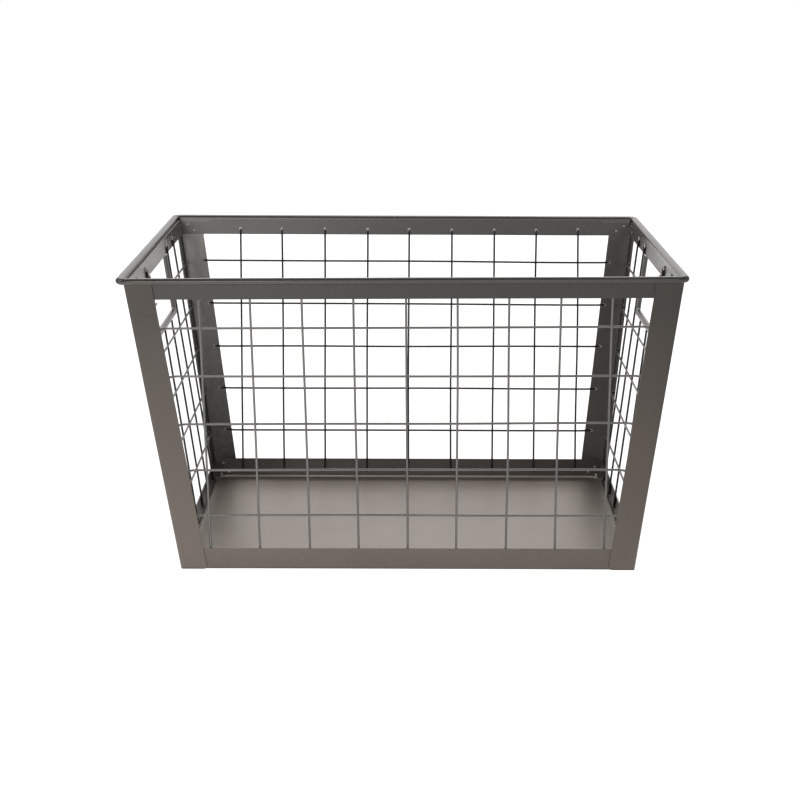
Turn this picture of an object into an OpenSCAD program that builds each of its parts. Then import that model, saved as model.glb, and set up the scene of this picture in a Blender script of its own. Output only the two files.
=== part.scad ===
// Tapered wire mesh container with a rolled rim, sheet bands, angle posts and a sheet bottom pan.
// Units are millimetres. +Z is up, +X is to the right along the long side, -Y is the front.
// The origin is the centre of the underside, on the surface the container stands on.

/* [Overall] */
// length of the bottom, measured over the corner posts
base_l = 354; // [300:1:460]
// width of the bottom, measured over the corner posts
base_w = 247; // [220:1:360]
// total height to the top of the rolled rim
height = 237; // [232:1:280]
// outward lean of the two short walls, as run over rise
lean_x = 0.121; // [0.02:0.001:0.2]
// outward lean of the two long walls, as run over rise
lean_y = 0.134; // [0.02:0.001:0.2]

/* [Sheet] */
// thickness of the bands, the posts and the pan
sheet_t = 1; // [0.6:0.1:1.4]
// diameter of the rolled rim
bead_d = 5; // [4:0.1:8]
// centre line radius of the rim corners
bead_bend_r = 4.2; // [4.1:0.1:20]
// height of the lower edge of the top bands
top_band_z = 220; // [205:0.5:222]
// height of the upper edge of the bottom bands
bottom_band_z = 17.5; // [10:0.5:36]
// width of each leg of a corner post
post_leg = 20.7; // [14:0.1:30]
// height of the turned-up lip of the pan
pan_lip = 3; // [1.5:0.1:4.5]
// corner radius of the pan
pan_corner_r = 9; // [4:0.5:30]

/* [Mesh] */
// wire diameter
wire_d = 1.5; // [1:0.1:1.8]
// spacing of the wires in both directions
mesh_pitch = 38.1; // [36:0.1:39]
// number of upright wires in each long wall
long_uprights = 9; // [3:2:9]
// number of upright wires in each short wall
short_uprights = 6; // [4:2:6]
// height of the lowest cross wire
first_cross_z = 44.5; // [42:0.5:48]
// length of each wire end that laps on a post
wire_lap = 6; // [4:0.5:12]
// distance the mesh panels and handle frames of the short walls sit toward the front, off centre
side_shift = 9; // [0:0.5:9]

/* [Handle frames] */
// clear length of each hand opening
hand_l = 90; // [70:1:96]
// height of the upper face of the handle frame's bottom bar
hand_z = 175; // [170:0.5:185]
// width of the folded strip that frames the opening
strip_w = 4.4; // [4:0.1:5]
// depth of the folded strip, square to the wall
strip_depth = 3.4; // [3:0.1:4]

/* [Hidden] */
$fn = 64;
// clearance left between separate pieces that are welded together
gap = 0.02;
tilt_x = atan(lean_x);
tilt_y = atan(lean_y);
cross_rows = 5;
bead_z = height - bead_d / 2;
band_top_z = bead_z - 1.4;
post_top_z = bead_z - 1.95;
// positions measured outward from the outer face of a wall, square to the wall
band_n = -sheet_t - gap;
upright_n = band_n - sheet_t - gap - wire_d / 2;
cross_n = upright_n - wire_d - gap;
lap_n = -sheet_t - gap - wire_d / 2;
// length of the S bend in a wire, and how far past the edge of the post it ends
jog_l = 7;
jog_past = 3;
// turn of each of its two bends, and how far each bend runs on into the straight lengths, in degrees
bend_turn = 30;
bend_over = 1;
// fold of the handle frame's strip, and the narrow slot left between its two leaves
fold_t = 1.2;
fold_slot = 0.5;
upright_z0 = 5.5;
upright_z1 = top_band_z + 5.5;
hand_half = hand_l / 2;
arm_out = hand_half + strip_w;
pan_l = base_l - 4 * sheet_t - 0.2;
pan_w = base_w - 4 * sheet_t - 0.2;
sheet_color = [0.30, 0.29, 0.27];
post_color = [0.34, 0.33, 0.31];
wire_color = [0.42, 0.41, 0.39];
pan_color = [0.52, 0.50, 0.47];

// long walls face front and rear, short walls face left and right
function half_at(long, z) = long ? base_l / 2 + lean_x * z : base_w / 2 + lean_y * z;
// distance up the leaning wall for height z
function up(long, z) = z / cos(long ? tilt_y : tilt_x);
function cross_z(i) = first_cross_z + i * mesh_pitch;
function upright_x(i, n) = (i - (n - 1) / 2) * mesh_pitch;

// puts local x along the wall, y up the slope and z square to the wall, with 0 on the outer face
module on_wall(side) {
    long = side == "front" || side == "rear";
    turn = side == "front" ? 0 : side == "right" ? 90 : side == "rear" ? 180 : 270;
    off = long ? base_w / 2 : base_l / 2;
    rotate([0, 0, turn])
        translate([0, -off, 0])
        rotate([90 + (long ? tilt_y : tilt_x), 0, 0])
        children();
}

// like on_wall, but moved along a short wall to where its mesh panel is centred
module on_panel(side) {
    on_wall(side) translate([side == "right" ? -side_shift : side_shift, 0, 0]) children();
}

// flat band between two heights, cut off a set distance inside both corner lines
module band(side, z0, z1) {
    long = side == "front" || side == "rear";
    inset = long ? sheet_t + 0.05 : 2 * sheet_t + 0.1;
    a = half_at(long, z0) - inset;
    b = half_at(long, z1) - inset;
    on_wall(side)
        translate([0, 0, band_n - sheet_t])
        linear_extrude(sheet_t)
        polygon([[-a, up(long, z0)], [a, up(long, z0)], [b, up(long, z1)], [-b, up(long, z1)]]);
}

// L section of a post at height z, in the corner where x and y are both positive
function post_section(z) = let (
        x = half_at(true, z), y = half_at(false, z),
        tx = sheet_t / cos(tilt_x), ty = sheet_t / cos(tilt_y))
    [[x, y, z], [x - post_leg, y, z], [x - post_leg, y - ty, z],
     [x - tx, y - ty, z], [x - tx, y - post_leg, z], [x, y - post_leg, z]];

// corner post, placed by the signs of its x and y; each end face is given as its two legs
module post(sx, sy) {
    ring = [0 : 5];
    color(post_color)
        mirror([sx < 0 ? 1 : 0, 0, 0])
        mirror([0, sy < 0 ? 1 : 0, 0])
        polyhedron(
            concat(post_section(0), post_section(post_top_z)),
            concat([[0, 1, 2, 3], [0, 3, 4, 5], [9, 8, 7, 6], [11, 10, 9, 6]],
                   [for (i = ring) [i, i + 6, (i + 1) % 6 + 6, (i + 1) % 6]]));
}

// straight wire along the wall from x0 to x1
module level_wire(x0, x1, y, n) {
    translate([x0, y, n]) rotate([0, 90, 0]) cylinder(d = wire_d, h = x1 - x0);
}

module upright(long, x, z1) {
    y0 = up(long, upright_z0);
    translate([x, y0, upright_n]) rotate([-90, 0, 0]) cylinder(d = wire_d, h = up(long, z1) - y0);
}

// bend in a wire: starts at the origin along +x and turns toward +z. It is a hair thicker than the
// wire and runs on past both ends, so that the straight lengths end inside it.
module wire_arc(r) {
    rotate([90, 0, 0])
        translate([0, r, 0])
        rotate([0, 0, -90 - bend_over])
        rotate_extrude(angle = bend_turn + 2 * bend_over)
        translate([r, 0]) circle(d = wire_d + 0.04);
}

// S bend that takes a level wire from depth n0 at x0 outward to depth n1, jog_l further along +x
module wire_jog(x0, y, n0, n1) {
    slant = (n1 - n0) / tan(bend_turn / 2) - jog_l;
    r = (jog_l - slant * cos(bend_turn)) / (2 * sin(bend_turn));
    translate([x0, y, n0]) {
        wire_arc(r);
        translate([r * sin(bend_turn), 0, r * (1 - cos(bend_turn))])
            rotate([0, 90 - bend_turn, 0])
            cylinder(d = wire_d, h = slant);
    }
    translate([x0 + jog_l, y, n1]) rotate([0, 180, 0]) wire_arc(r);
}

// outer end of a cross wire on the +x side: it bends out past the last upright and lies on the post
module wire_end(long, z) {
    y = up(long, z);
    e = half_at(long, z) - post_leg;
    wire_jog(e + jog_past - jog_l, y, cross_n, lap_n);
    level_wire(e + jog_past, e + wire_lap, y, lap_n);
}

// cross wire that runs inside the uprights from post to post
module cross_wire(long, z) {
    j = half_at(long, z) - post_leg + jog_past - jog_l;
    level_wire(-j, j, up(long, z), cross_n);
    for (m = [0, 1]) mirror([m, 0, 0]) wire_end(long, z);
}

module long_uprights(side) {
    color(wire_color) on_wall(side)
        for (i = [0 : long_uprights - 1]) upright(true, upright_x(i, long_uprights), upright_z1);
}

module long_cross_wires(side) {
    color(wire_color) on_wall(side)
        for (i = [0 : cross_rows - 1]) cross_wire(true, cross_z(i));
}

// full-height uprights, clear of the hand opening
module side_uprights(side) {
    color(wire_color) on_panel(side)
        for (i = [0 : short_uprights - 1])
            if (abs(upright_x(i, short_uprights)) > arm_out)
                upright(false, upright_x(i, short_uprights), upright_z1);
}

// uprights that end under the handle frame's bottom bar
module side_short_uprights(side) {
    color(wire_color) on_panel(side)
        for (i = [0 : short_uprights - 1])
            if (abs(upright_x(i, short_uprights)) < hand_half)
                upright(false, upright_x(i, short_uprights), hand_z - strip_w - 0.1);
}

module side_cross_wires(side) {
    color(wire_color) on_wall(side)
        for (i = [0 : cross_rows - 2]) cross_wire(false, cross_z(i));
}

// top row: cut away at the hand opening, with its ends lying on the arms of the handle frame
module side_short_cross_wires(side) {
    z = cross_z(cross_rows - 1);
    color(wire_color) difference() {
        on_wall(side) cross_wire(false, z);
        on_panel(side)
            translate([0, up(false, z), cross_n])
            cube([hand_l + 2, 3 * wire_d, 3 * wire_d], center = true);
    }
}

// folded strip in section: x away from the opening, y square to the wall, slot open on the far side
module strip_section() {
    difference() {
        translate([0, -strip_depth]) square([strip_w, strip_depth]);
        translate([fold_t, -(strip_depth + fold_slot) / 2]) square([strip_w, fold_slot]);
    }
}

// arms and bottom bar round three sides of the hand opening; the arms end under the top band
module handle_frame(side) {
    y0 = up(false, hand_z);
    y1 = up(false, top_band_z) - gap;
    color(post_color) on_panel(side) {
        translate([arm_out, y0, 0])
            rotate([90, 0, -90])
            linear_extrude(2 * arm_out)
            strip_section();
        for (end = [0, 1])
            mirror([end, 0, 0])
            translate([hand_half, y1, 0])
            rotate([90, 0, 0])
            linear_extrude(y1 - y0 + 0.2)
            strip_section();
    }
}

// closed ring of round section that lies against the outside of the bands
module rim_bead() {
    off = bead_d / 2 - sheet_t;
    hx = half_at(true, bead_z) + off / cos(tilt_x);
    hy = half_at(false, bead_z) + off / cos(tilt_y);
    r = bead_bend_r;
    color(sheet_color) translate([0, 0, bead_z]) {
        for (s = [-1, 1]) {
            translate([-hx + r, s * hy, 0]) rotate([0, 90, 0]) cylinder(d = bead_d, h = 2 * (hx - r));
            translate([s * hx, -hy + r, 0]) rotate([-90, 0, 0]) cylinder(d = bead_d, h = 2 * (hy - r));
        }
        for (c = [[1, 1, 0], [-1, 1, 90], [-1, -1, 180], [1, -1, 270]])
            translate([c[0] * (hx - r), c[1] * (hy - r), 0])
            rotate([0, 0, c[2]])
            rotate_extrude(angle = 90)
            translate([r, 0]) circle(d = bead_d);
    }
}

module rounded_plate(l, w, r, h) {
    linear_extrude(h) {
        square([l - 2 * r, w], center = true);
        square([l, w - 2 * r], center = true);
        for (x = [-1, 1], y = [-1, 1]) translate([x * (l / 2 - r), y * (w / 2 - r)]) circle(r);
    }
}

module bottom_pan() {
    t = sheet_t;
    color(pan_color) difference() {
        rounded_plate(pan_l, pan_w, pan_corner_r, pan_lip);
        translate([0, 0, t]) rounded_plate(pan_l - 2 * t, pan_w - 2 * t, pan_corner_r - t, pan_lip);
    }
}

rim_bead();
color(sheet_color) band("front", top_band_z, band_top_z);  // front_top_band
color(sheet_color) band("rear", top_band_z, band_top_z);  // rear_top_band
color(sheet_color) band("left", top_band_z, band_top_z);  // left_top_band
color(sheet_color) band("right", top_band_z, band_top_z);  // right_top_band
color(sheet_color) band("front", 0, bottom_band_z);  // front_bottom_band
color(sheet_color) band("rear", 0, bottom_band_z);  // rear_bottom_band
color(sheet_color) band("left", 0, bottom_band_z);  // left_bottom_band
color(sheet_color) band("right", 0, bottom_band_z);  // right_bottom_band
post(-1, -1);  // front_left_post
post(1, -1);  // front_right_post
post(-1, 1);  // rear_left_post
post(1, 1);  // rear_right_post
bottom_pan();
handle_frame("left");  // left_handle_frame
handle_frame("right");  // right_handle_frame
long_uprights("front");  // front_upright_wires
long_cross_wires("front");  // front_cross_wires
long_uprights("rear");  // rear_upright_wires
long_cross_wires("rear");  // rear_cross_wires
side_uprights("left");  // left_upright_wires
side_short_uprights("left");  // left_short_upright_wires
side_cross_wires("left");  // left_cross_wires
side_short_cross_wires("left");  // left_short_cross_wires
side_uprights("right");  // right_upright_wires
side_short_uprights("right");  // right_short_upright_wires
side_cross_wires("right");  // right_cross_wires
side_short_cross_wires("right");  // right_short_cross_wires
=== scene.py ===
"""Looks of the wire mesh container: every CAD node gets a detailed mesh and a pewter lacquer.

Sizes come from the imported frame. Lengths are in metres, and a wall is described by three values:
u along the wall, z the height, and n the distance outward from the outer face of the posts.

The lacquers differ between pieces more than the real one does: the paler and darker ones stand in
for part of the studio's light. They are tied to pieces and heights only.
"""
import math
import random

import bpy
import bmesh
from mathutils import Matrix, Vector, noise


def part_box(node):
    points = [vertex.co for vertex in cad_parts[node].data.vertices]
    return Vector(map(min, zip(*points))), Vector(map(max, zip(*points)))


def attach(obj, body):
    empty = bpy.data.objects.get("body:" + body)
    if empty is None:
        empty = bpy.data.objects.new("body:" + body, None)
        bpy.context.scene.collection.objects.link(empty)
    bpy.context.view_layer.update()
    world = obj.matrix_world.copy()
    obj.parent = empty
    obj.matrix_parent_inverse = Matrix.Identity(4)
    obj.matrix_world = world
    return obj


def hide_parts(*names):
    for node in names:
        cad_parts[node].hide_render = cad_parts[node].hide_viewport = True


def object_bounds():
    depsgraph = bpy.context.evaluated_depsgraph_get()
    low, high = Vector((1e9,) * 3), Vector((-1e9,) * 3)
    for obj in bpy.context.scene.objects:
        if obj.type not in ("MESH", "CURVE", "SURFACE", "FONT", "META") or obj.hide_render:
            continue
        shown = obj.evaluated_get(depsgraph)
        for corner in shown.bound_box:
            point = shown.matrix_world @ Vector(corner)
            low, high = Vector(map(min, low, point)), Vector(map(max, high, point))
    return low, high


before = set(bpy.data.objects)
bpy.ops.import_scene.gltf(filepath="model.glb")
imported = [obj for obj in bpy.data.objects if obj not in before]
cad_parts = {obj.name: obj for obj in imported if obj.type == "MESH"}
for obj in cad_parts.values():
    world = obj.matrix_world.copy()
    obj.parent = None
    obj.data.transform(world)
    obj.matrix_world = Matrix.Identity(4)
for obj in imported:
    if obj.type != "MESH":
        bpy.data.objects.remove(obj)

cad_low, cad_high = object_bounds()

# ---------------------------------------------------------------- sizes from the frame

MM = 0.001
SHEET_T = 1.0 * MM
WIRE_R = 0.75 * MM
GAP = 0.02 * MM


def reach(node, axis, z_low, z_high):
    """Smallest and largest distance from the middle along an axis, between two heights of a node."""
    found = [abs(v.co[axis]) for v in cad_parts[node].data.vertices if z_low <= v.co.z <= z_high]
    return min(found), max(found)


rim_low, rim_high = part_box("rim_bead")
BEAD_R = (rim_high.z - rim_low.z) / 2
BEAD_Z = rim_high.z - BEAD_R
BEAD_BEND_R = 5.8 * MM
PAN_CORNER_R = 9 * MM

POST_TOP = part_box("front_left_post")[1].z
FOOT_X = reach("front_left_post", 0, -MM, 0.1 * MM)[1]
FOOT_Y = reach("front_left_post", 1, -MM, 0.1 * MM)[1]
POST_LEG = FOOT_X - reach("front_left_post", 0, -MM, 0.1 * MM)[0]
LEAN_X = (reach("front_left_post", 0, POST_TOP - 0.1 * MM, POST_TOP)[1] - FOOT_X) / POST_TOP
LEAN_Y = (reach("front_left_post", 1, POST_TOP - 0.1 * MM, POST_TOP)[1] - FOOT_Y) / POST_TOP

# depths below the outer face of the posts
BAND_N = -SHEET_T - GAP
UPRIGHT_N = BAND_N - SHEET_T - GAP - WIRE_R
CROSS_N = UPRIGHT_N - 2 * WIRE_R - GAP
LAP_N = -SHEET_T - GAP - WIRE_R
STRIP_W = 4.4 * MM
STRIP_DEPTH = 3.4 * MM
JOG_L = 7 * MM
JOG_PAST = 3 * MM
WIRE_LAP = 6 * MM

# a box is read on the leaning wall: a point at depth n stands higher than its foot by RISE * -n
RISE = math.sin(math.atan(LEAN_Y))
TOP_BAND_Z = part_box("front_top_band")[0].z + RISE * BAND_N
BAND_TOP_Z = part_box("front_top_band")[1].z + RISE * (BAND_N - SHEET_T)
BOTTOM_BAND_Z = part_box("front_bottom_band")[1].z + RISE * (BAND_N - SHEET_T)
PAN_LIP_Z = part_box("bottom_pan")[1].z
PAN_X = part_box("bottom_pan")[1].x
PAN_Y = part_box("bottom_pan")[1].y

LONG_UPRIGHTS = 9
SHORT_UPRIGHTS = 6
CROSS_ROWS = 5
PITCH = (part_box("front_upright_wires")[1].x - WIRE_R) / ((LONG_UPRIGHTS - 1) / 2)
UPRIGHT_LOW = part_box("front_upright_wires")[0].z + RISE * (UPRIGHT_N + WIRE_R)
UPRIGHT_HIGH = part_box("front_upright_wires")[1].z + RISE * (UPRIGHT_N - WIRE_R)
FIRST_CROSS_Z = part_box("front_cross_wires")[0].z + WIRE_R + RISE * LAP_N
LAST_CROSS_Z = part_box("front_cross_wires")[1].z - WIRE_R + RISE * CROSS_N
CROSS_STEP = (LAST_CROSS_Z - FIRST_CROSS_Z) / (CROSS_ROWS - 1)
hand_low, hand_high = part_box("left_handle_frame")
HAND_Z = hand_low.z
HAND_OUT = (hand_high.y - hand_low.y) / 2
SIDE_SHIFT = -(hand_high.y + hand_low.y) / 2
SHORT_UPRIGHT_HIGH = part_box("left_short_upright_wires")[1].z - 0.4 * MM

# the real one leans a little to one side toward the top, and its sheets and wires are not quite true
RACK = 0.0141
# the rim sits further left than the CAD's, and reaches a little further at each end
RIM_SHIFT = 1.1 * MM
RIM_SPARE = 0.6 * MM
RIM_TILT = 0.0018
RIM_TWIST = 0.026
WAVER = 0.25 * MM
WAVER_SCALE = 8.0

rng = random.Random(7)
# vector noise takes its offsets from the clock unless it is seeded
noise.seed_set(7)


def settle(p):
    """Takes a point of the ideal shape to its place on the slightly racked, hand-welded one."""
    waver = noise.noise_vector(p * WAVER_SCALE) * WAVER
    rising = min(1.0, max(0.0, p.z / (40 * MM)))
    waver.z *= rising
    lift = p.x * (RIM_TILT - RIM_TWIST * p.y) * (0.4 + 0.6 * p.z / cad_high.z) * rising
    return p + Vector((-RACK * p.z, 0, lift)) + waver


class Wall:
    """One leaning wall: its directions, its half length at a height, and its mesh panel's centre."""

    def __init__(self, turn, foot, lean, end_foot, end_lean, panel=0.0):
        self.panel = panel
        self.foot, self.lean, self.end_foot, self.end_lean = foot, lean, end_foot, end_lean
        tilt = math.atan(lean)
        self.outward = Vector((0, -math.cos(tilt), -math.sin(tilt)))
        self.turn = Matrix.Rotation(math.radians(turn), 3, "Z")

    def half(self, z):
        return self.end_foot + self.end_lean * z

    def at(self, u, z, n):
        return self.turn @ (Vector((u, -self.foot - self.lean * z, z)) + n * self.outward)


WALLS = {
    "front": Wall(0, FOOT_Y, LEAN_Y, FOOT_X, LEAN_X),
    "right": Wall(90, FOOT_X, LEAN_X, FOOT_Y, LEAN_Y, -SIDE_SHIFT),
    "rear": Wall(180, FOOT_Y, LEAN_Y, FOOT_X, LEAN_X),
    "left": Wall(270, FOOT_X, LEAN_X, FOOT_Y, LEAN_Y, SIDE_SHIFT),
}

# ---------------------------------------------------------------- materials


def new_material(name):
    mat = bpy.data.materials.new(name)
    mat.use_nodes = True
    nodes, links = mat.node_tree.nodes, mat.node_tree.links
    return mat, nodes, links, nodes["Principled BSDF"]


def place_coords(nodes, links, scale):
    """Object coordinates stretched by a scale per axis, so that grain has a direction."""
    coords = nodes.new("ShaderNodeTexCoord")
    mapping = nodes.new("ShaderNodeMapping")
    mapping.inputs["Scale"].default_value = scale
    links.new(coords.outputs["Object"], mapping.inputs["Vector"])
    return mapping.outputs["Vector"]


def noise_at(nodes, links, vector, scale, detail=4.0, rough=0.55):
    tex = nodes.new("ShaderNodeTexNoise")
    tex.inputs["Scale"].default_value = scale
    tex.inputs["Detail"].default_value = detail
    tex.inputs["Roughness"].default_value = rough
    links.new(vector, tex.inputs["Vector"])
    return tex.outputs["Fac"]


def spread(nodes, links, value, low, high, to_low, to_high):
    remap = nodes.new("ShaderNodeMapRange")
    for socket, number in (("From Min", low), ("From Max", high), ("To Min", to_low), ("To Max", to_high)):
        remap.inputs[socket].default_value = number
    links.new(value, remap.inputs["Value"])
    return remap.outputs["Result"]


def blend_colors(nodes, links, factor, dark, light):
    mix = nodes.new("ShaderNodeMix")
    mix.data_type = "RGBA"
    links.new(factor, mix.inputs["Factor"])
    for socket, color in ((mix.inputs[6], dark), (mix.inputs[7], light)):
        if hasattr(color, "is_linked"):
            links.new(color, socket)
        else:
            socket.default_value = (*color, 1)
    return mix.outputs[2]


def bump(nodes, links, height, distance, strength=1.0, under=None):
    node = nodes.new("ShaderNodeBump")
    node.inputs["Distance"].default_value = distance
    node.inputs["Strength"].default_value = strength
    links.new(height, node.inputs["Height"])
    if under:
        links.new(under, node.inputs["Normal"])
    return node.outputs["Normal"]


def lacquer(name, dark, light, metallic, roughness, grain=(1, 1, 1), foot=None):
    """Satin pewter lacquer: faintly cloudy and rubbed along its grain. If a foot colour is given it blends
    toward it over the lowest 210 mm, painting light and shade by height, and along the ground it darkens
    as a painted contact shadow.
    """
    mat, nodes, links, shader = new_material(name)
    where = place_coords(nodes, links, (1, 1, 1))
    along = place_coords(nodes, links, grain)
    cloud = spread(nodes, links, noise_at(nodes, links, where, 11, 5), 0.3, 0.7, 0, 1)
    streak = spread(nodes, links, noise_at(nodes, links, along, 260, 3), 0.35, 0.65, 0, 1)
    tone = blend_colors(nodes, links, cloud, dark, light)
    height = nodes.new("ShaderNodeSeparateXYZ")
    links.new(where, height.inputs[0])
    # painted light and shade by height: a paler foot is painted floor light, a darker foot leaves the
    # upper part as a painted highlight
    if foot:
        low = spread(nodes, links, height.outputs["Z"], 0.0, 210 * MM, 1.0, 0.0)
        tone = blend_colors(nodes, links, low, tone, foot)
    # painted contact shadow: the lowest 0.4 to 1.3 mm darken to near black where the part stands on the
    # floor
    painted_ground_shadow = spread(nodes, links, height.outputs["Z"], 0.4 * MM, 1.3 * MM, 0.8, 0.0)
    tone = blend_colors(nodes, links, painted_ground_shadow, tone, (0.008, 0.007, 0.006))
    rubbed = tuple(min(1, c * 1.5) for c in light)
    rub = spread(nodes, links, streak, 0.2, 1.0, 0.0, 0.12)
    tone = blend_colors(nodes, links, rub, tone, rubbed)
    links.new(tone, shader.inputs["Base Color"])
    links.new(spread(nodes, links, cloud, 0, 1, roughness - 0.03, roughness + 0.04),
              shader.inputs["Roughness"])
    shader.inputs["Metallic"].default_value = metallic
    shader.inputs["Coat Weight"].default_value = 0.2
    shader.inputs["Coat Roughness"].default_value = 0.2
    fine = bump(nodes, links, noise_at(nodes, links, where, 1300, 2), 0.003 * MM)
    broad = bump(nodes, links, noise_at(nodes, links, along, 60, 2), 0.04 * MM, 0.5, fine)
    links.new(broad, shader.inputs["Normal"])
    return mat


def pan_material():
    """Sheet with long fine rolling marks and a cloudy clear lacquer."""
    mat, nodes, links, shader = new_material("pan_sheet")
    where = place_coords(nodes, links, (1, 1, 1))
    along = place_coords(nodes, links, (0.03, 1, 1))
    streak = noise_at(nodes, links, along, 900, 3, 0.6)
    cloud = noise_at(nodes, links, where, 9, 5)
    tone = blend_colors(nodes, links, spread(nodes, links, cloud, 0.3, 0.7, 0, 1),
                        (0.215, 0.185, 0.160), (0.255, 0.222, 0.194))
    tone = blend_colors(nodes, links, spread(nodes, links, streak, 0.3, 0.7, 0, 0.3),
                        tone, (0.38, 0.335, 0.295))
    links.new(tone, shader.inputs["Base Color"])
    links.new(spread(nodes, links, streak, 0.3, 0.7, 0.36, 0.46), shader.inputs["Roughness"])
    shader.inputs["Metallic"].default_value = 0.75
    shader.inputs["Coat Weight"].default_value = 0.15
    shader.inputs["Coat Roughness"].default_value = 0.3
    links.new(bump(nodes, links, streak, 0.02 * MM), shader.inputs["Normal"])
    return mat


RIM = lacquer("rim_lacquer", (0.058, 0.054, 0.048), (0.070, 0.065, 0.058), 0.6, 0.24)
SHEET = lacquer("sheet_lacquer", (0.043, 0.039, 0.034), (0.052, 0.047, 0.041), 0.6, 0.26)
# paler copy of the sheet lacquer for the front bottom band: painted light from the floor in front
PAINTED_LIGHT_BOTTOM_BAND = lacquer("painted_light_bottom_band_lacquer", (0.104, 0.086, 0.071), (0.123, 0.101, 0.084), 0.6, 0.30)
# paler copy of the sheet lacquer for the left top band: painted light and painted reflection
PAINTED_LIGHT_LEFT_BAND = lacquer("painted_light_left_band_lacquer", (0.110, 0.106, 0.098), (0.130, 0.125, 0.116), 0.6, 0.26)
# front posts: sheet tone, paler toward the foot as painted light from the floor
FRONT_POSTS_PAINTED_LIGHT_FOOT = lacquer("front_posts_painted_light_foot_lacquer", (0.045, 0.038, 0.032), (0.054, 0.046, 0.039), 0.6, 0.30,
               foot=(0.130, 0.105, 0.087))
# rear left post: a pale painted highlight over most of its height, darker toward the foot
REAR_LEFT_POST_PAINTED_HIGHLIGHT = lacquer("rear_left_post_painted_highlight_lacquer", (0.120, 0.112, 0.102), (0.138, 0.130, 0.119),
                         0.6, 0.30, foot=(0.032, 0.028, 0.024))
# shaded copy of the lacquer: painted shade on the rear, left and right bottom bands and the rear right
# post, paler toward the foot
SHADED_COPY = lacquer("shaded_lacquer", (0.050, 0.045, 0.040), (0.060, 0.054, 0.047), 0.6, 0.30,
               foot=(0.076, 0.065, 0.056))
STRIP = lacquer("strip_lacquer", (0.070, 0.066, 0.060), (0.100, 0.094, 0.086), 0.6, 0.3)
# one wire lacquer in two copies: near black as painted shade for the rear wires and side uprights, pale as
# painted light for the front wires and the cross wires of the sides
PAINTED_SHADE_WIRES = lacquer("painted_shade_wires_lacquer", (0.018, 0.017, 0.016), (0.030, 0.029, 0.027), 0.75, 0.30)
PAINTED_LIGHT_WIRES = lacquer("painted_light_wires_lacquer", (0.100, 0.098, 0.090), (0.145, 0.141, 0.130), 0.7, 0.30)
WELD = lacquer("weld_lacquer", (0.40, 0.39, 0.37), (0.55, 0.54, 0.51), 0.35, 0.35)
PAN = pan_material()

# ---------------------------------------------------------------- mesh helpers


def make_piece(name, bm, material, replaces, crease=0.0, smooth_angle=35):
    """Turns a bmesh into a piece that rides on the part and stands for the CAD nodes named."""
    bmesh.ops.recalc_face_normals(bm, faces=bm.faces)
    mesh = bpy.data.meshes.new(name)
    bm.to_mesh(mesh)
    bm.free()
    mesh.materials.append(material)
    mesh.materials.append(WELD)
    piece = bpy.data.objects.new(name, mesh)
    bpy.context.scene.collection.objects.link(piece)
    for face in mesh.polygons:
        face.use_smooth = True
    if crease:
        edge = piece.modifiers.new("edge", "BEVEL")
        edge.width = crease
        edge.segments = 2
        edge.limit_method = "ANGLE"
        edge.angle_limit = math.radians(40)
        edge.harden_normals = True
    else:
        mesh.set_sharp_from_angle(angle=math.radians(smooth_angle))
    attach(piece, "root")
    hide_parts(*replaces)
    return piece


def loft(bm, rings, close_path=False):
    """Skins a list of closed vertex rings. close_path joins the last to the first, with no caps."""
    made = [[bm.verts.new(settle(p)) for p in ring] for ring in rings]
    count = len(made[0])
    last = len(made) if close_path else len(made) - 1
    for i in range(last):
        a, b = made[i], made[(i + 1) % len(made)]
        for k in range(count):
            bm.faces.new((a[k], a[(k + 1) % count], b[(k + 1) % count], b[k]))
    if not close_path:
        bm.faces.new(made[0])
        bm.faces.new(list(reversed(made[-1])))


def steps(a, b, count):
    return [a + (b - a) * i / count for i in range(count + 1)]


def slab(bm, point_at, us, vs):
    """A thin closed slab. point_at(u_index, v_index, side) gives a point on its outer or inner face."""
    face_verts = []
    for side in (0, 1):
        face_verts.append([[bm.verts.new(settle(point_at(i, j, side))) for j in range(vs + 1)]
                           for i in range(us + 1)])
    for grid in face_verts:
        for i in range(us):
            for j in range(vs):
                bm.faces.new((grid[i][j], grid[i + 1][j], grid[i + 1][j + 1], grid[i][j + 1]))
    outer, inner = face_verts
    rim = [(i, 0) for i in range(us)] + [(us, j) for j in range(vs)]
    rim += [(i, vs) for i in range(us, 0, -1)] + [(0, j) for j in range(vs, 0, -1)]
    for (i, j), (k, m) in zip(rim, rim[1:] + rim[:1]):
        bm.faces.new((outer[i][j], outer[k][m], inner[k][m], inner[i][j]))


TUBE_SIDES = 12
LACQUERED_R = WIRE_R + 0.12 * MM


def tube(bm, path, radius=LACQUERED_R):
    """Round wire with slightly rounded cut ends along a path of points, drawn a little heavier."""
    first = (path[1] - path[0]).normalized()
    last = (path[-1] - path[-2]).normalized()
    nose = radius * 0.4
    path = [path[0], path[0] + first * nose, *path[1:-1], path[-1] - last * nose, path[-1]]
    side = first.orthogonal().normalized()
    rings = []
    for i, p in enumerate(path):
        ahead = (path[min(i + 1, len(path) - 1)] - path[max(i - 1, 0)]).normalized()
        side = (side - ahead * side.dot(ahead)).normalized()
        up = ahead.cross(side)
        size = radius * (0.55 if i in (0, len(path) - 1) else 1.0)
        turn = [2 * math.pi * k / TUBE_SIDES for k in range(TUBE_SIDES)]
        rings.append([p + (side * math.cos(a) + up * math.sin(a)) * size for a in turn])
    loft(bm, rings)


def weld(bm, place, along, across, out, length, width, height):
    """A small uneven weld nugget, longer along the wire and flattened against the sheet."""
    made = bmesh.ops.create_icosphere(bm, subdivisions=2, radius=1.0)["verts"]
    seed = Vector((rng.uniform(0, 50), rng.uniform(0, 50), rng.uniform(0, 50)))
    for face in {f for v in made for f in v.link_faces}:
        face.material_index = 1
    for v in made:
        lump = 1 + 0.22 * noise.noise(v.co * 1.7 + seed)
        v.co = settle(place + (along * v.co.x * length + across * v.co.y * width
                               + out * v.co.z * height) * lump)


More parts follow.
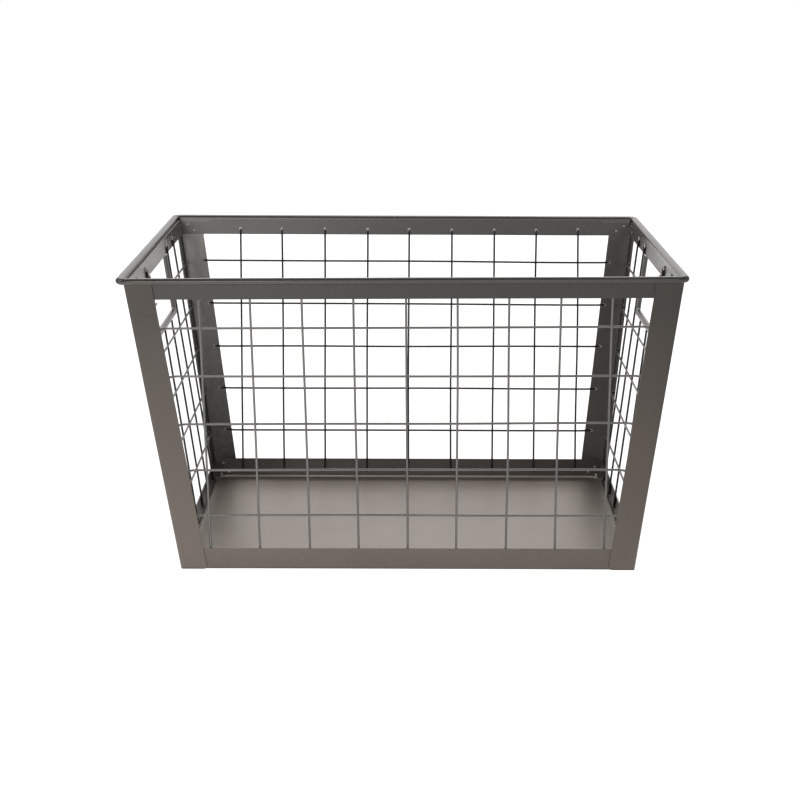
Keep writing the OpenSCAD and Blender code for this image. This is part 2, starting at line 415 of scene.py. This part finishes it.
# ---------------------------------------------------------------- sheets


def wall_axes(wall):
    along = (wall.at(1, 0, 0) - wall.at(0, 0, 0)).normalized()
    up = (wall.at(0, 1, 0) - wall.at(0, 0, 0)).normalized()
    return along, up, along.cross(up)


BAND_EDGE = 0.32 * MM


def band(name, wall, z0, z1, inset, material):
    """Flat band of one wall, faintly bowed, with small spot welds where it meets the posts."""
    bm = bmesh.new()
    us, vs = 48, 3
    bow = rng.uniform(-0.25, 0.25) * MM

    def point_at(i, j, side):
        z = z0 + (z1 - z0) * j / vs
        t = 2 * i / us - 1
        n = BAND_N - side * SHEET_T + bow * (1 - t * t)
        return wall.at(t * (wall.half(z) - inset), z, n)

    slab(bm, point_at, us, vs)
    along, up, out = wall_axes(wall)
    for s in (-1, 1):
        for du, part in ((7, 0.68), (12.5, 0.3)):
            z = z0 + (z1 - z0) * (part + rng.uniform(-0.08, 0.08))
            u = s * (wall.half(z) - inset - (du + rng.uniform(-1, 1)) * MM)
            dot = wall.at(u, z, BAND_N - SHEET_T)
            weld(bm, dot, along, up, out, 0.9 * MM, 0.8 * MM, 0.25 * MM)
    make_piece(name + "_sheet", bm, material, [name], crease=BAND_EDGE)


# top and bottom band lacquer of each wall: the paler copies paint light, the darker ones paint shade
BAND_LOOK = {"front": (SHEET, PAINTED_LIGHT_BOTTOM_BAND), "rear": (SHEET, SHADED_COPY),
             "left": (PAINTED_LIGHT_LEFT_BAND, SHADED_COPY), "right": (SHEET, SHADED_COPY)}


def bands():
    for side, wall in WALLS.items():
        inset = SHEET_T + 0.1 * MM if side in ("front", "rear") else 2 * SHEET_T + 0.1 * MM
        top, low = BAND_LOOK[side]
        band(side + "_top_band", wall, TOP_BAND_Z, BAND_TOP_Z, inset, top)
        band(side + "_bottom_band", wall, 0.0, BOTTOM_BAND_Z, inset, low)


def arc(cx, cy, r, a0, a1, count):
    return [(cx + r * math.cos(math.radians(a)), cy + r * math.sin(math.radians(a)))
            for a in steps(a0, a1, count)]


FOLD_R = 2.0 * MM


def post(name, sx, sy, material, side_material):
    """Folded angle post: two legs, a rounded fold along the corner and rounded foot corners.

    side_material goes on the leg that lies in the short wall.
    """
    bm = bmesh.new()
    t = SHEET_T
    legs = [0.0, 0.5 * MM, 1.2 * MM, 2.4 * MM, 6 * MM, 12 * MM]
    outer = [(-POST_LEG + d, 0.0) for d in legs] + arc(-FOLD_R, -FOLD_R, FOLD_R, 90, 0, 6)
    outer += [(0.0, -POST_LEG + d) for d in reversed(legs)]
    inner = [(-t, -POST_LEG + d) for d in legs] + arc(-FOLD_R, -FOLD_R, FOLD_R - t, 0, 90, 6)
    inner += [(-POST_LEG + d, -t) for d in reversed(legs)]
    round_r = 2.4 * MM

    def foot_z(x, y):
        """Height of the foot's edge, rounded off near each leg's free edge."""
        d = POST_LEG + min(x, y)
        if d >= round_r:
            return 0.0
        return round_r - math.sqrt(round_r ** 2 - (round_r - max(d, 0)) ** 2)

    rings = []
    heights = [0.0, 3 * MM] + steps(8 * MM, POST_TOP, 24)
    for level, z in enumerate(heights):
        hx, hy = FOOT_X + LEAN_X * z, FOOT_Y + LEAN_Y * z
        ring = []
        for x, y in outer + inner:
            lift = foot_z(x, y) if level == 0 else 0.0
            ring.append(Vector((sx * (hx + x), sy * (hy + y), z + lift)))
        rings.append(ring)
    loft(bm, rings)
    bm.normal_update()
    for face in bm.faces:
        if abs(face.normal.x) > abs(face.normal.y):
            face.material_index = 2
    piece = make_piece(name + "_angle", bm, material, [name], crease=0.22 * MM)
    piece.data.materials.append(side_material)


def posts():
    # front posts, rear left post and rear right post take copies of one lacquer: painted light, painted
    # highlight and painted shade
    post("front_left_post", -1, -1, FRONT_POSTS_PAINTED_LIGHT_FOOT, FRONT_POSTS_PAINTED_LIGHT_FOOT)
    post("rear_left_post", -1, 1, REAR_LEFT_POST_PAINTED_HIGHLIGHT, SHEET)
    post("front_right_post", 1, -1, FRONT_POSTS_PAINTED_LIGHT_FOOT, FRONT_POSTS_PAINTED_LIGHT_FOOT)
    post("rear_right_post", 1, 1, SHADED_COPY, SHADED_COPY)


def ring_path(hx, hy, r, straight, bend):
    """Points and outward directions round a rounded rectangle, counterclockwise from the right side."""
    out = []
    for sx, sy, start in ((1, 1, 0), (-1, 1, 90), (-1, -1, 180), (1, -1, 270)):
        for x, y in arc(0, 0, 1, start, start + 90, bend):
            out.append((Vector((sx * (hx - r) + r * x, sy * (hy - r) + r * y, 0)), Vector((x, y, 0))))
    full = []
    for i, (p, d) in enumerate(out):
        q = out[(i + 1) % len(out)][0]
        full.append((p, d))
        if (q - p).length > 4 * r:
            full += [(p.lerp(q, t / straight), d) for t in range(1, straight)]
    return full


def rim():
    """The rolled rim: the sheet comes up inside, rolls over outward and closes under itself."""
    bm = bmesh.new()
    r = BEAD_R
    lap = SHEET_T + 0.12 * MM
    section = [(-r - lap - 0.38 * MM, -3.0 * MM), (-r - lap - 0.05 * MM, -0.5 * MM)]
    section += [(x * (r + lap), y * r) for x, y in arc(0, 0, 1, 172, 100, 6)]
    section += [(x * r, y * r) for x, y in arc(0, 0, 1, 84, -160, 20)]
    section += [(-r + 0.55 * MM, -0.75 * MM), (-r - 0.4 * MM, -1.6 * MM), (-r - 0.8 * MM, -3.0 * MM)]
    rings = []
    for p, d in ring_path(rim_high.x - r + RIM_SPARE, rim_high.y - r, BEAD_BEND_R, 46, 8):
        rings.append([p + d * a + Vector((-RIM_SHIFT, 0, BEAD_Z + b)) for a, b in section])
    loft(bm, rings, close_path=True)
    make_piece("rim_bead_roll", bm, RIM, ["rim_bead"], smooth_angle=50)


def pan():
    """Sheet pan with a turned-up lip, soft inner bend and a floor that isn't quite flat."""
    bm = bmesh.new()
    t = SHEET_T
    bend = 1.2 * MM
    profile = [(-bend, 0.0), (-0.3 * MM, 0.2 * MM), (0.0, bend), (0.0, PAN_LIP_Z - 0.3 * MM),
               (-0.3 * MM, PAN_LIP_Z), (-t + 0.25 * MM, PAN_LIP_Z), (-t, PAN_LIP_Z - 0.3 * MM),
               (-t, t + bend), (-t - 0.4 * MM, t + 0.35 * MM), (-t - bend, t)]
    path = ring_path(PAN_X, PAN_Y, PAN_CORNER_R, 30, 8)
    rings = [[p + d * a + Vector((0, 0, b)) for p, d in path] for a, b in profile]
    inner = rings[-1]
    for k in (0.97, 0.9, 0.78, 0.62, 0.44, 0.24, 0.08):
        sag = [0.22 * MM * noise.noise(Vector((q.x * k * 14, q.y * k * 14, 3))) for q in inner]
        rings.append([Vector((q.x * k, q.y * k, t + s)) for q, s in zip(inner, sag)])
    under = [[Vector((q.x * k, q.y * k, 0)) for q in rings[0]] for k in (0.05, 0.5)]
    loft(bm, under + rings)
    for sx in (-1, 1):
        for lift, tall in ((0.0, 1.0), (1.6, 1.3)):
            place = Vector((sx * (PAN_X - 3.6 * MM), PAN_Y - 3.2 * MM, PAN_LIP_Z + lift * MM))
            weld(bm, place, Vector((1, 0, 0)), Vector((0, 1, 0)), Vector((0, 0, 1)),
                 1.3 * MM, 1.0 * MM, tall * MM)
    make_piece("bottom_pan_tray", bm, PAN, ["bottom_pan"], smooth_angle=60)


def handle_frame(side):
    """Folded strip round the hand opening: two arms and a bar, butt-welded at the lower corners."""
    bm = bmesh.new()
    wall = WALLS[side]
    along, up, out = wall_axes(wall)
    z1 = TOP_BAND_Z + 0.1 * MM
    half_w = STRIP_W / 2
    z0 = HAND_Z + half_w
    u1 = HAND_OUT - half_w
    mid_n = -STRIP_DEPTH / 2
    d = STRIP_DEPTH / 2
    soft = 0.7 * MM
    slot = 0.3 * MM
    groove = 0.35 * MM
    # first value is away from the opening, second is square to the wall with the outside positive
    section = [(half_w, d), (-half_w + soft, d), (-half_w + 0.2 * MM, d - 0.2 * MM), (-half_w, d - soft),
               (-half_w, -d + soft), (-half_w + 0.2 * MM, -d + 0.2 * MM), (-half_w + soft, -d),
               (-groove, -d), (0.0, -d + groove), (groove, -d),
               (half_w, -d), (half_w, -slot), (0.4 * MM, -slot), (0.4 * MM, slot), (half_w, slot)]

    def ring(u, z, du, dz):
        return [wall.at(wall.panel + u + du * a, z + dz * a, mid_n + b) for a, b in section]

    rings = [ring(-u1, z, -1, 0) for z in steps(z1, z0 + 6 * MM, 6)]
    rings.append(ring(-u1, z0, -1, -1))
    rings += [ring(u, z0, 0, -1) for u in steps(-u1 + 6 * MM, u1 - 6 * MM, 8)]
    rings.append(ring(u1, z0, 1, -1))
    rings += [ring(u1, z, 1, 0) for z in steps(z0 + 6 * MM, z1, 6)]
    loft(bm, rings)
    for s in (-1, 1):
        inner = wall.at(wall.panel + s * (u1 - half_w * 0.9), z0 + half_w * 0.9, mid_n)
        weld(bm, inner, (up - along * s).normalized(), (up + along * s).normalized(), out,
             1.9 * MM, 1.1 * MM, d * 0.9)
        for du in (-0.8, 0.9):
            top = wall.at(wall.panel + s * u1 + du * half_w, z1, mid_n)
            weld(bm, top, along, up, out, 1.2 * MM, 0.8 * MM, 1.2 * MM)
    make_piece(side + "_handle_frame_strip", bm, STRIP, [side + "_handle_frame"], smooth_angle=40)


# ---------------------------------------------------------------- wires


def wander(amount, waves=3):
    """A smooth random function of t from 0 to 1."""
    terms = [(rng.uniform(-1, 1) / (k + 1), rng.uniform(0, 6.28), 1.1 * (k + 1)) for k in range(waves)]
    return lambda t: amount * sum(a * math.sin(w * math.pi * t + p) for a, p, w in terms)


WIRE_OFF = 0.45 * MM


def upright_line(u, bow, lean=0.0):
    """The hand-spaced line of one upright: its u at any height. lean is its run toward the top."""
    low = u + rng.uniform(-WIRE_OFF, WIRE_OFF)
    high = u + lean + rng.uniform(-WIRE_OFF, WIRE_OFF)
    sway = wander(bow)
    return lambda z: low + (high - low) * z / UPRIGHT_HIGH + sway(z / UPRIGHT_HIGH)


def uprights(name, wall, lines, z_top, on_band=True, spare=0.0, material=PAINTED_SHADE_WIRES):
    """Uprights of one wall, welded to the inner faces of the bands at both ends."""
    bm = bmesh.new()
    along, up, out = wall_axes(wall)
    for line in lines:
        tip_z = z_top + rng.uniform(spare - 1.2 * MM, spare) if on_band else z_top
        tube(bm, [wall.at(line(z), z, UPRIGHT_N) for z in steps(UPRIGHT_LOW, tip_z, 44)])
        if on_band:
            tip = wall.at(line(tip_z), tip_z - 0.4 * MM, UPRIGHT_N + 0.35 * MM)
            weld(bm, tip, up, along, out, 2.2 * MM, 1.45 * MM, 0.9 * MM)
        foot = wall.at(line(UPRIGHT_LOW), UPRIGHT_LOW + 1.2 * MM, UPRIGHT_N + 0.35 * MM)
        weld(bm, foot, up, along, out, 1.5 * MM, 1.15 * MM, 0.7 * MM)
    make_piece(name + "_drawn", bm, material, [name], smooth_angle=60)


def depth_at(u, e):
    """How deep a cross wire runs at u: inside the uprights, then out to the post past u = e."""
    start = e + JOG_PAST - JOG_L
    t = min(1, max(0, (abs(u) - start) / JOG_L))
    return CROSS_N + (LAP_N - CROSS_N) * (t * t * (3 - 2 * t))


# how far the uprights of the long walls run sideways by the top, and how far their rows are off
PANEL_LEAN = {"front": 1.2 * MM, "rear": -3.0 * MM}
ROW_LIFT = {"front": -0.15 * MM, "rear": -0.6 * MM}


def cross_wires(side, name, rows, lines, cut=None):
    """Cross wires of one wall. cut is the span left out of each for a hand opening."""
    bm = bmesh.new()
    wall = WALLS[side]
    along, up, out = wall_axes(wall)
    for row in rows:
        z = FIRST_CROSS_Z + row * CROSS_STEP + ROW_LIFT.get(side, 0.0)
        e = wall.half(z) - POST_LEG
        end = e + WIRE_LAP - row * 0.6 * MM
        sway = wander(0.45 * MM)
        spans = [(-end, cut[0]), (cut[1], end)] if cut else [(-end, end)]
        for u0, u1 in spans:
            count = max(24, int((u1 - u0) / (2.5 * MM)))
            tube(bm, [wall.at(u, z + sway(0.5 + u / (2 * end)), depth_at(u, e))
                      for u in steps(u0, u1, count)])
        for s in (-1, 1):
            rise = sway(0.5 + s * 0.5)
            tip = wall.at(s * (end - 0.6 * MM), z + rise, LAP_N + 0.2 * MM)
            weld(bm, tip, along, up, out, 1.9 * MM, 1.4 * MM, 0.85 * MM)
        for line in lines:
            u = line(z)
            knot = wall.at(u, z + sway(0.5 + u / (2 * end)), (UPRIGHT_N + CROSS_N) / 2)
            weld(bm, knot, along, up, out, 1.05 * MM, 1.0 * MM, 0.55 * MM)
    # the pale copy is painted light, the dark rear copy painted shade
    material = PAINTED_SHADE_WIRES if side == "rear" else PAINTED_LIGHT_WIRES
    make_piece(name + "_drawn", bm, material, [name], smooth_angle=60)


def spaced(count, middle=0.0):
    return [middle + (i - (count - 1) / 2) * PITCH for i in range(count)]


def mesh_walls():
    for side in ("front", "rear"):
        lines = [upright_line(u, 0.4 * MM, PANEL_LEAN[side]) for u in spaced(LONG_UPRIGHTS)]
        # front uprights take the pale painted light copy, rear uprights the dark painted shade copy
        material = PAINTED_SHADE_WIRES if side == "rear" else PAINTED_LIGHT_WIRES
        uprights(side + "_upright_wires", WALLS[side], lines, UPRIGHT_HIGH, material=material)
        cross_wires(side, side + "_cross_wires", range(CROSS_ROWS), lines)
    for side in ("left", "right"):
        wall = WALLS[side]
        middle = wall.panel
        spots = spaced(SHORT_UPRIGHTS, middle)
        tall = [upright_line(u, 0.8 * MM) for u in spots if abs(u - middle) > HAND_OUT]
        short = [upright_line(u, 0.8 * MM) for u in spots if abs(u - middle) < HAND_OUT]
        # side uprights keep the dark copy of the wire lacquer: painted shade
        uprights(side + "_upright_wires", wall, tall, UPRIGHT_HIGH, spare=2.2 * MM)
        uprights(side + "_short_upright_wires", wall, short, SHORT_UPRIGHT_HIGH, False)
        cross_wires(side, side + "_cross_wires", range(CROSS_ROWS - 1), tall + short)
        inner = HAND_OUT - STRIP_W + 1 * MM
        cut = (middle - inner, middle + inner)
        cross_wires(side, side + "_short_cross_wires", [CROSS_ROWS - 1], tall, cut)


# ---------------------------------------------------------------- stage, light and camera


def stage():
    """A wide plain white floor that glows, in front more at the left, and behind more in the middle."""
    bm = bmesh.new()
    bmesh.ops.create_grid(bm, x_segments=2, y_segments=2, size=12)
    mesh = bpy.data.meshes.new("floor")
    bm.to_mesh(mesh)
    bm.free()
    floor = bpy.data.objects.new("floor", mesh)
    bpy.context.scene.collection.objects.link(floor)
    mat, nodes, links, shader = new_material("floor_white")
    shader.inputs["Base Color"].default_value = (0.30, 0.30, 0.30, 1)
    shader.inputs["Roughness"].default_value = 0.9
    shader.inputs["Specular IOR Level"].default_value = 0.0
    shader.inputs["Emission Color"].default_value = (1, 1, 1, 1)
    split = nodes.new("ShaderNodeSeparateXYZ")
    links.new(place_coords(nodes, links, (1, 1, 1)), split.inputs[0])
    front = spread(nodes, links, split.outputs["X"], -0.30, 0.30, 1.45, 0.70)
    back = spread(nodes, links, size_of(nodes, links, split.outputs["X"]), 0.20, 0.40, 1.0, 0.25)
    behind = spread(nodes, links, split.outputs["Y"], -0.16, -0.06, 0.0, 1.0)
    glow = blend_values(nodes, links, behind, front, back)
    links.new(white_to_camera(nodes, links, glow), shader.inputs["Emission Strength"])
    mesh.materials.append(mat)


def size_of(nodes, links, value):
    node = nodes.new("ShaderNodeMath")
    node.operation = "ABSOLUTE"
    links.new(value, node.inputs[0])
    return node.outputs[0]


def blend_values(nodes, links, factor, a, b):
    """Blends from a to b, where b is a socket or a plain number."""
    mix = nodes.new("ShaderNodeMix")
    links.new(factor, mix.inputs["Factor"])
    links.new(a, mix.inputs[2])
    if hasattr(b, "is_linked"):
        links.new(b, mix.inputs[3])
    else:
        mix.inputs[3].default_value = b
    return mix.outputs[0]


def white_to_camera(nodes, links, strength):
    """The surround shows as even white, while it lights the part with the strength given."""
    path = nodes.new("ShaderNodeLightPath")
    return blend_values(nodes, links, path.outputs["Is Camera Ray"], strength, 1.0)


def soft_box(name, place, aim, width, height, radiance):
    """A rectangular soft light that looks equally bright from anywhere in front of it."""
    light = bpy.data.lights.new(name, "AREA")
    light.shape = "RECTANGLE"
    light.size = width
    light.size_y = height
    light.energy = radiance * math.pi * width * height
    lamp = bpy.data.objects.new(name, light)
    lamp.location = place
    lamp.rotation_euler = (Vector(aim) - Vector(place)).to_track_quat("-Z", "Y").to_euler()
    bpy.context.scene.collection.objects.link(lamp)


def studio():
    """White surround that lights the part most from straight behind, with soft boxes round it."""
    world = bpy.data.worlds.new("studio")
    bpy.context.scene.world = world
    world.use_nodes = True
    nodes, links = world.node_tree.nodes, world.node_tree.links
    back = nodes["Background"]
    coords = nodes.new("ShaderNodeTexCoord")
    split = nodes.new("ShaderNodeSeparateXYZ")
    links.new(coords.outputs["Generated"], split.inputs[0])
    depth = spread(nodes, links, split.outputs["Y"], -0.1, 0.6, 0.0, 1.0)
    aside = spread(nodes, links, size_of(nodes, links, split.outputs["X"]), 0.28, 0.6, 1.0, 0.0)
    lit = nodes.new("ShaderNodeMath")
    lit.operation = "MULTIPLY"
    links.new(depth, lit.inputs[0])
    links.new(aside, lit.inputs[1])
    strength = spread(nodes, links, lit.outputs[0], 0.0, 1.0, 0.38, 1.0)
    links.new(white_to_camera(nodes, links, strength), back.inputs["Strength"])
    back.inputs["Color"].default_value = (1, 1, 1, 1)
    soft_box("front_left", (-0.55, -2.6, 0.73), (-0.15, 0.1, 0.2), 0.5, 0.8, 5.0)
    soft_box("front", (0.3, -2.6, 0.78), (0.0, 0.1, 0.2), 1.2, 0.8, 1.5)
    soft_box("left", (-1.6, -0.3, 1.3), (0.0, 0.0, 0.1), 1.0, 1.0, 2.0)
    soft_box("top", (0.0, 1.5, 1.9), (0.0, 0.0, 0.2), 1.6, 0.9, 3.8)


def camera():
    """Camera about 1.4 m away, looking down a little over 14 degrees with a long lens."""
    lens = bpy.data.cameras.new("camera")
    lens.sensor_width = 36
    lens.lens = 77.8
    lens.clip_end = 100
    cam = bpy.data.objects.new("camera", lens)
    cam.location = (0.0042, -1.3976, 0.4624)
    down, yaw, roll = 0.2504, 0.0081, 0.0005
    turn = Matrix.Rotation(yaw, 3, "Z") @ Matrix.Rotation(math.pi / 2 - down, 3, "X")
    cam.rotation_euler = (turn @ Matrix.Rotation(roll, 3, "Z")).to_euler()
    bpy.context.scene.collection.objects.link(cam)
    bpy.context.scene.camera = cam


bands()
posts()
rim()
pan()
handle_frame("left")
handle_frame("right")
mesh_walls()
stage()
studio()
camera()
bpy.context.scene.view_settings.view_transform = "Standard"
